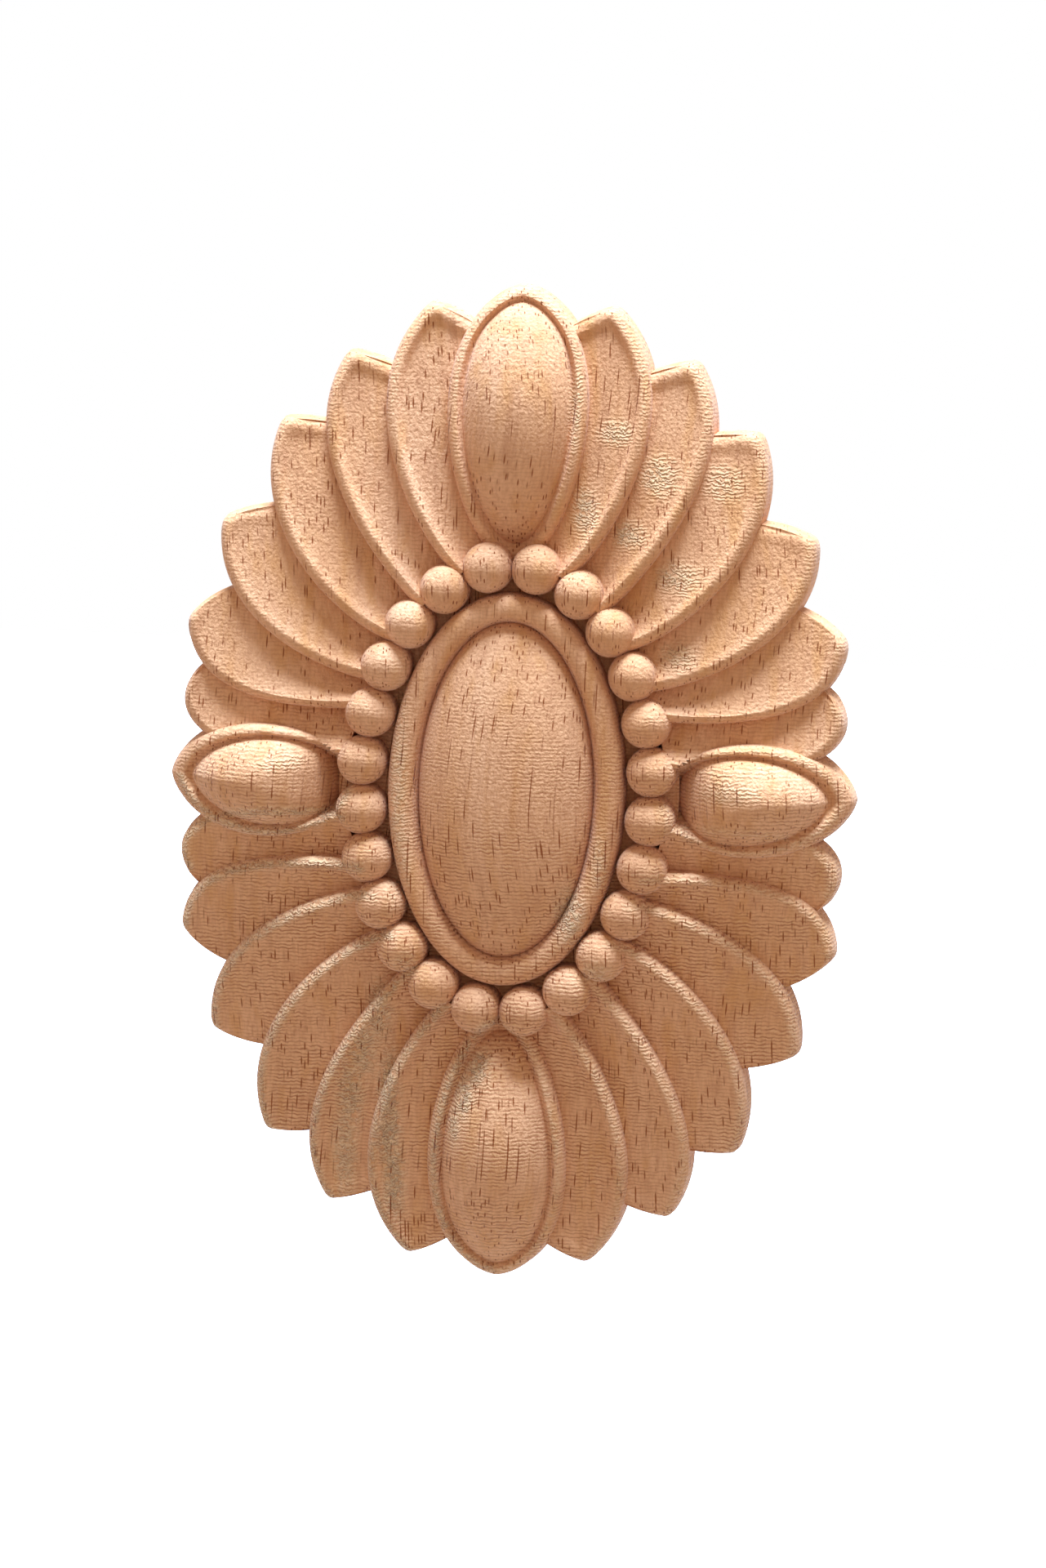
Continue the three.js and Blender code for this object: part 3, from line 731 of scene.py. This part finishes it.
def makeWood():
    # Rubberwood, milled with a small round cutter and left raw: open brown pores along the grain, faint level
    # lines from the cutter's passes with painted shade in their valleys and painted highlight on their
    # crests, and pale torn fibres on some rims, with painted highlight on the lower rims
    material = bpy.data.materials.new("milledRubberwood")
    material.use_nodes = True
    tree = material.node_tree
    tree.nodes.clear()
    rangeInputs = ("From Min", "From Max", "To Min", "To Max")
    ranges = {name: dict(zip(rangeInputs, values)) for name, values in woodRanges.items()}
    place = addNode(tree, "ShaderNodeTexCoord", {}).outputs["Object"]
    board = addNode(tree, "ShaderNodeVectorMath", {
        "operation": "SCALE", 0: place, "Scale": 1 / mm,
    }).outputs[0]
    level = addNode(tree, "ShaderNodeSeparateXYZ", {"Vector": board}).outputs["Z"]

    # the grain wanders sideways by a few millimetres along the piece
    slowly = addNode(tree, "ShaderNodeMapping", {
        "Vector": board, "Scale": [wood["grainRepeats"]] * 3,
    }).outputs[0]
    drift = addNode(tree, "ShaderNodeTexNoise", {
        "Vector": slowly, "Scale": 1.0, "Detail": 1.0,
    }).outputs["Color"]
    grain = addNode(tree, "ShaderNodeVectorMath", {
        "operation": "SUBTRACT", 0: drift, 1: (0.5, 0.5, 0.5),
    }).outputs[0]
    grain = addNode(tree, "ShaderNodeVectorMath", {
        "operation": "MULTIPLY", 0: grain, 1: wood["grainDrift"],
    }).outputs[0]
    grain = addNode(tree, "ShaderNodeVectorMath", {"operation": "ADD", 0: board, 1: grain}).outputs[0]

    # vessels are tubes along the grain, so a slope cuts them as short dashes and a level top as long lines
    spread = addNode(tree, "ShaderNodeMapping", {
        "Vector": grain, "Scale": (1, wood["vesselSpread"], 1),
    }).outputs[0]
    cells = addNode(tree, "ShaderNodeTexVoronoi", {
        "voronoi_dimensions": "2D", "Vector": spread, "Scale": 1 / wood["vesselSpacing"],
    })
    radius = wood["vesselRadius"] / wood["vesselSpacing"]
    core = addNode(tree, "ShaderNodeMapRange", {
        "Value": cells.outputs["Distance"],
        "From Min": radius * wood["vesselEdge"][0], "From Max": radius * wood["vesselEdge"][1],
    }).outputs[0]
    chance = addNode(tree, "ShaderNodeSeparateColor", {"Color": cells.outputs["Color"]}).outputs
    vesselPlace = addNode(tree, "ShaderNodeCombineXYZ", {})
    for axis, (signal, repeats) in enumerate((
        (chance["Green"], wood["vesselVariety"]),
        (chance["Blue"], wood["vesselVariety"]),
        (level, wood["vesselRepeats"]),
    )):
        scaled = addNode(tree, "ShaderNodeMath", {"operation": "MULTIPLY", 0: signal, 1: repeats}).outputs[0]
        tree.links.new(scaled, vesselPlace.inputs[axis])

    follow = {"board": board, "grain": grain, "vessel": vesselPlace.outputs[0]}
    noise = {}
    for name, (followed, repeats, detail) in woodPatterns.items():
        scaled = addNode(tree, "ShaderNodeMapping", {"Vector": follow[followed], "Scale": repeats}).outputs[0]
        pattern = addNode(tree, "ShaderNodeTexNoise", {"Vector": scaled, "Scale": 1.0, "Detail": detail})
        noise[name] = pattern.outputs["Fac"]

    crowd = addNode(tree, "ShaderNodeMath", {
        "operation": "ADD", 0: chance["Red"], 1: noise["crowding"],
    }).outputs[0]
    shares = {}
    for name, signal in (
        ("opening", noise["opening"]), ("crowding", crowd), ("slow", noise["slow"]),
        ("ragged", noise["ragged"]), ("shadedLowerHalf", level), ("broken", noise["broken"]),
        ("faint", noise["faint"]),
    ):
        shares[name] = addNode(tree, "ShaderNodeMapRange", {"Value": signal, **ranges[name]}).outputs[0]
    vessel = core
    for factor in (shares["opening"], shares["crowding"]):
        vessel = addNode(tree, "ShaderNodeMath", {"operation": "MULTIPLY", 0: vessel, 1: factor}).outputs[0]

    # level ridges from the passes of the cutter, wavy and broken, ragged where fibres tore
    # the marked strength: torn fibres, with painted highlight along the lower rims
    marked = addNode(tree, "ShaderNodeAttribute", {"attribute_name": "tornFibres"}).outputs["Fac"]
    torn = addNode(tree, "ShaderNodeMath", {
        "operation": "MULTIPLY", 0: marked, 1: shares["ragged"],
    }).outputs[0]
    wide = addNode(tree, "ShaderNodeMath", {
        "operation": "MULTIPLY", 0: noise["wideWaver"], 1: wood["wideWaver"],
    }).outputs[0]
    fine = addNode(tree, "ShaderNodeMath", {
        "operation": "MULTIPLY_ADD", 0: torn, 1: wood["tornWaver"], 2: wood["fineWaver"],
    }).outputs[0]
    waver = addNode(tree, "ShaderNodeMath", {
        "operation": "MULTIPLY_ADD", 0: noise["fineWaver"], 1: fine, 2: wide,
    }).outputs[0]
    wavering = addNode(tree, "ShaderNodeMath", {"operation": "ADD", 0: waver, 1: level}).outputs[0]
    phase = addNode(tree, "ShaderNodeMath", {
        "operation": "MULTIPLY", 0: wavering, 1: 2 * math.pi / wood["cutterStep"],
    }).outputs[0]
    ridges = addNode(tree, "ShaderNodeMath", {"operation": "SINE", 0: phase}).outputs[0]
    passes = ridges
    for factor in (shares["broken"], shares["faint"], shares["shadedLowerHalf"]):
        passes = addNode(tree, "ShaderNodeMath", {"operation": "MULTIPLY", 0: passes, 1: factor}).outputs[0]

    # slow colour change across the board, fibres, streaks and amber stains along it, then the passes: painted
    # shade in their valleys and painted highlight on their crests
    base = addNode(tree, "ShaderNodeMix", {
        "data_type": "RGBA", 0: shares["slow"], 6: linearColour(wood["pale"]), 7: linearColour(wood["mid"]),
    }).outputs[2]
    for name, signal, colour in (
        ("fibre", noise["fibre"], "deep"), ("streak", noise["streak"], "deep"),
        ("stain", noise["stain"], "amber"), ("paintedValleyShade", passes, "deep"), ("crests", passes, "torn"),
    ):
        share = addNode(tree, "ShaderNodeMapRange", {"Value": signal, **ranges[name]}).outputs[0]
        base = addNode(tree, "ShaderNodeMix", {
            "data_type": "RGBA", 0: share, 6: base, 7: linearColour(wood[colour]),
        }).outputs[2]

    # torn fibres lie pale over that, mostly on the crests of their ridges and crumbs, and paler in the lower
    # half as painted highlight; the pores open dark through everything
    raised = addNode(tree, "ShaderNodeMath", {
        "operation": "MULTIPLY_ADD", 0: ridges, 1: wood["ridgesInTorn"], 2: noise["crumbs"],
    }).outputs[0]
    lifted = addNode(tree, "ShaderNodeMapRange", {"Value": raised, **ranges["lifted"]}).outputs[0]
    tornAndHighlightShare = addNode(tree, "ShaderNodeMath", {"operation": "MULTIPLY", 0: torn, 1: lifted}).outputs[0]
    # the lower half takes the paler torn colour, painted highlight in the shaded half
    tornAndHighlightColour = addNode(tree, "ShaderNodeMix", {
        "data_type": "RGBA", 0: shares["shadedLowerHalf"],
        6: linearColour(wood["torn"]), 7: linearColour(wood["tornPaintedHighlight"]),
    }).outputs[2]
    base = addNode(tree, "ShaderNodeMix", {
        "data_type": "RGBA", 0: tornAndHighlightShare, 6: base, 7: tornAndHighlightColour,
    }).outputs[2]
    base = addNode(tree, "ShaderNodeMix", {
        "data_type": "RGBA", 0: vessel, 6: base, 7: linearColour(wood["vessel"]),
    }).outputs[2]

    relief = {"grit": noise["grit"], "fibre": noise["fibre"], "passes": passes, "vessel": vessel}
    for name, signal in (("tornRidges", ridges), ("tornCrumbs", noise["crumbs"])):
        relief[name] = addNode(tree, "ShaderNodeMath", {
            "operation": "MULTIPLY", 0: signal, 1: torn,
        }).outputs[0]
    height = 0.0
    for name, size in woodRelief.items():
        height = addNode(tree, "ShaderNodeMath", {
            "operation": "MULTIPLY_ADD", 0: relief[name], 1: size, 2: height,
        }).outputs[0]
    bump = addNode(tree, "ShaderNodeBump", {"Strength": 1.0, "Distance": mm, "Height": height}).outputs[0]

    shader = addNode(tree, "ShaderNodeBsdfPrincipled", {
        "Base Color": base, "Normal": bump, "Roughness": wood["roughness"], "IOR": wood["refraction"],
        "Specular IOR Level": wood["shine"], "Sheen Weight": wood["fuzz"],
        "Sheen Roughness": wood["fuzzSoftness"],
    })
    addNode(tree, "ShaderNodeOutputMaterial", {"Surface": shader.outputs[0]})
    return material


# Floor, light and camera

studio = {
    "floorSize": 6000,
    "floorBelow": 300,         # the rosette hangs well above the floor, so its shadow falls below the picture
    "floorColour": "#fbfaf8",
    "floorRoughness": 0.9,
    "keyFromRight": 55,        # degrees round from straight in front
    "keyFromAbove": 85.5,
    "keySoftness": 26,         # how wide the lamp looks from the carving, in degrees
    "keyPower": 15.4,
    "keyColour": "#c4e0ff",
    "surround": 0.6,
    "surroundColour": "#fff3ea",
}

cameraFacts = {
    "distance": 652.73,
    "fromRight": 7.108,
    "fromAbove": 7.345,
    "roll": 1.651,
    "aimBehindBack": 3.82,
    "lens": 123.88,
    "filmWidth": 36,
    "shift": (0.00398, -0.00264),
}


def makeStudio():
    bpy.ops.mesh.primitive_plane_add(size=studio["floorSize"] * mm,
                                     location=(0, 0, -studio["floorBelow"] * mm))
    floor = bpy.context.object
    floor.name = "floor"
    bpy.ops.object.transform_apply(location=True, rotation=True, scale=True)
    # Matt seamless paper: an even pale ground with no highlights
    paper = bpy.data.materials.new("mattSeamlessPaper")
    paper.use_nodes = True
    surface = paper.node_tree.nodes["Principled BSDF"]
    surface.inputs["Base Color"].default_value = linearColour(studio["floorColour"])
    surface.inputs["Roughness"].default_value = studio["floorRoughness"]
    floor.data.materials.append(paper)
    floor.visible_diffuse = False      # the floor throws no light up at the carving
    light = bpy.data.lights.new("softKey", "SUN")
    light.energy = studio["keyPower"]
    light.angle = math.radians(studio["keySoftness"])
    light.color = linearColour(studio["keyColour"])[:3]
    key = bpy.data.objects.new("softKey", light)
    key.matrix_world = (Matrix.Rotation(math.radians(studio["keyFromRight"]), 4, "Z")
                        @ Matrix.Rotation(math.radians(90 - studio["keyFromAbove"]), 4, "X"))
    bpy.context.scene.collection.objects.link(key)
    world = bpy.data.worlds.new("paleSurround")
    world.use_nodes = True
    tree = world.node_tree
    tree.nodes.clear()
    # the surround looks white and lights the carving more gently than it looks
    felt = addNode(tree, "ShaderNodeBackground", {
        "Color": linearColour(studio["surroundColour"]), "Strength": studio["surround"],
    })
    seen = addNode(tree, "ShaderNodeBackground", {"Color": (1, 1, 1, 1), "Strength": 1.0})
    ray = addNode(tree, "ShaderNodeLightPath", {})
    mixed = addNode(tree, "ShaderNodeMixShader", {
        0: ray.outputs["Is Camera Ray"], 1: felt.outputs[0], 2: seen.outputs[0],
    })
    addNode(tree, "ShaderNodeOutputWorld", {"Surface": mixed.outputs[0]})
    bpy.context.scene.world = world
    bpy.context.scene.view_settings.view_transform = "Standard"


def makeCamera():
    lens = bpy.data.cameras.new("photographView")
    lens.lens = cameraFacts["lens"]
    lens.sensor_width = cameraFacts["filmWidth"]
    lens.shift_x, lens.shift_y = cameraFacts["shift"]
    camera = bpy.data.objects.new("photographView", lens)
    turn = (Matrix.Rotation(math.radians(cameraFacts["fromRight"]), 4, "Z")
            @ Matrix.Rotation(math.radians(90 - cameraFacts["fromAbove"]), 4, "X")
            @ Matrix.Rotation(math.radians(cameraFacts["roll"]), 4, "Z"))
    aim = Vector((0, cameraFacts["aimBehindBack"] * mm, 0))
    back = Matrix.Translation((0, 0, cameraFacts["distance"] * mm))
    camera.matrix_world = Matrix.Translation(aim) @ turn @ back
    bpy.context.scene.collection.objects.link(camera)
    bpy.context.scene.camera = camera


makeCamera()
makeStudio()
print("camera, floor and light made")
carving = makeCarving()
markTornFibres(carving)
carving.data.materials.clear()
carving.data.materials.append(makeWood())
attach(carving, "root")
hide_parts("carved_rosette")
print("carving finished", len(carving.data.vertices), "vertices")
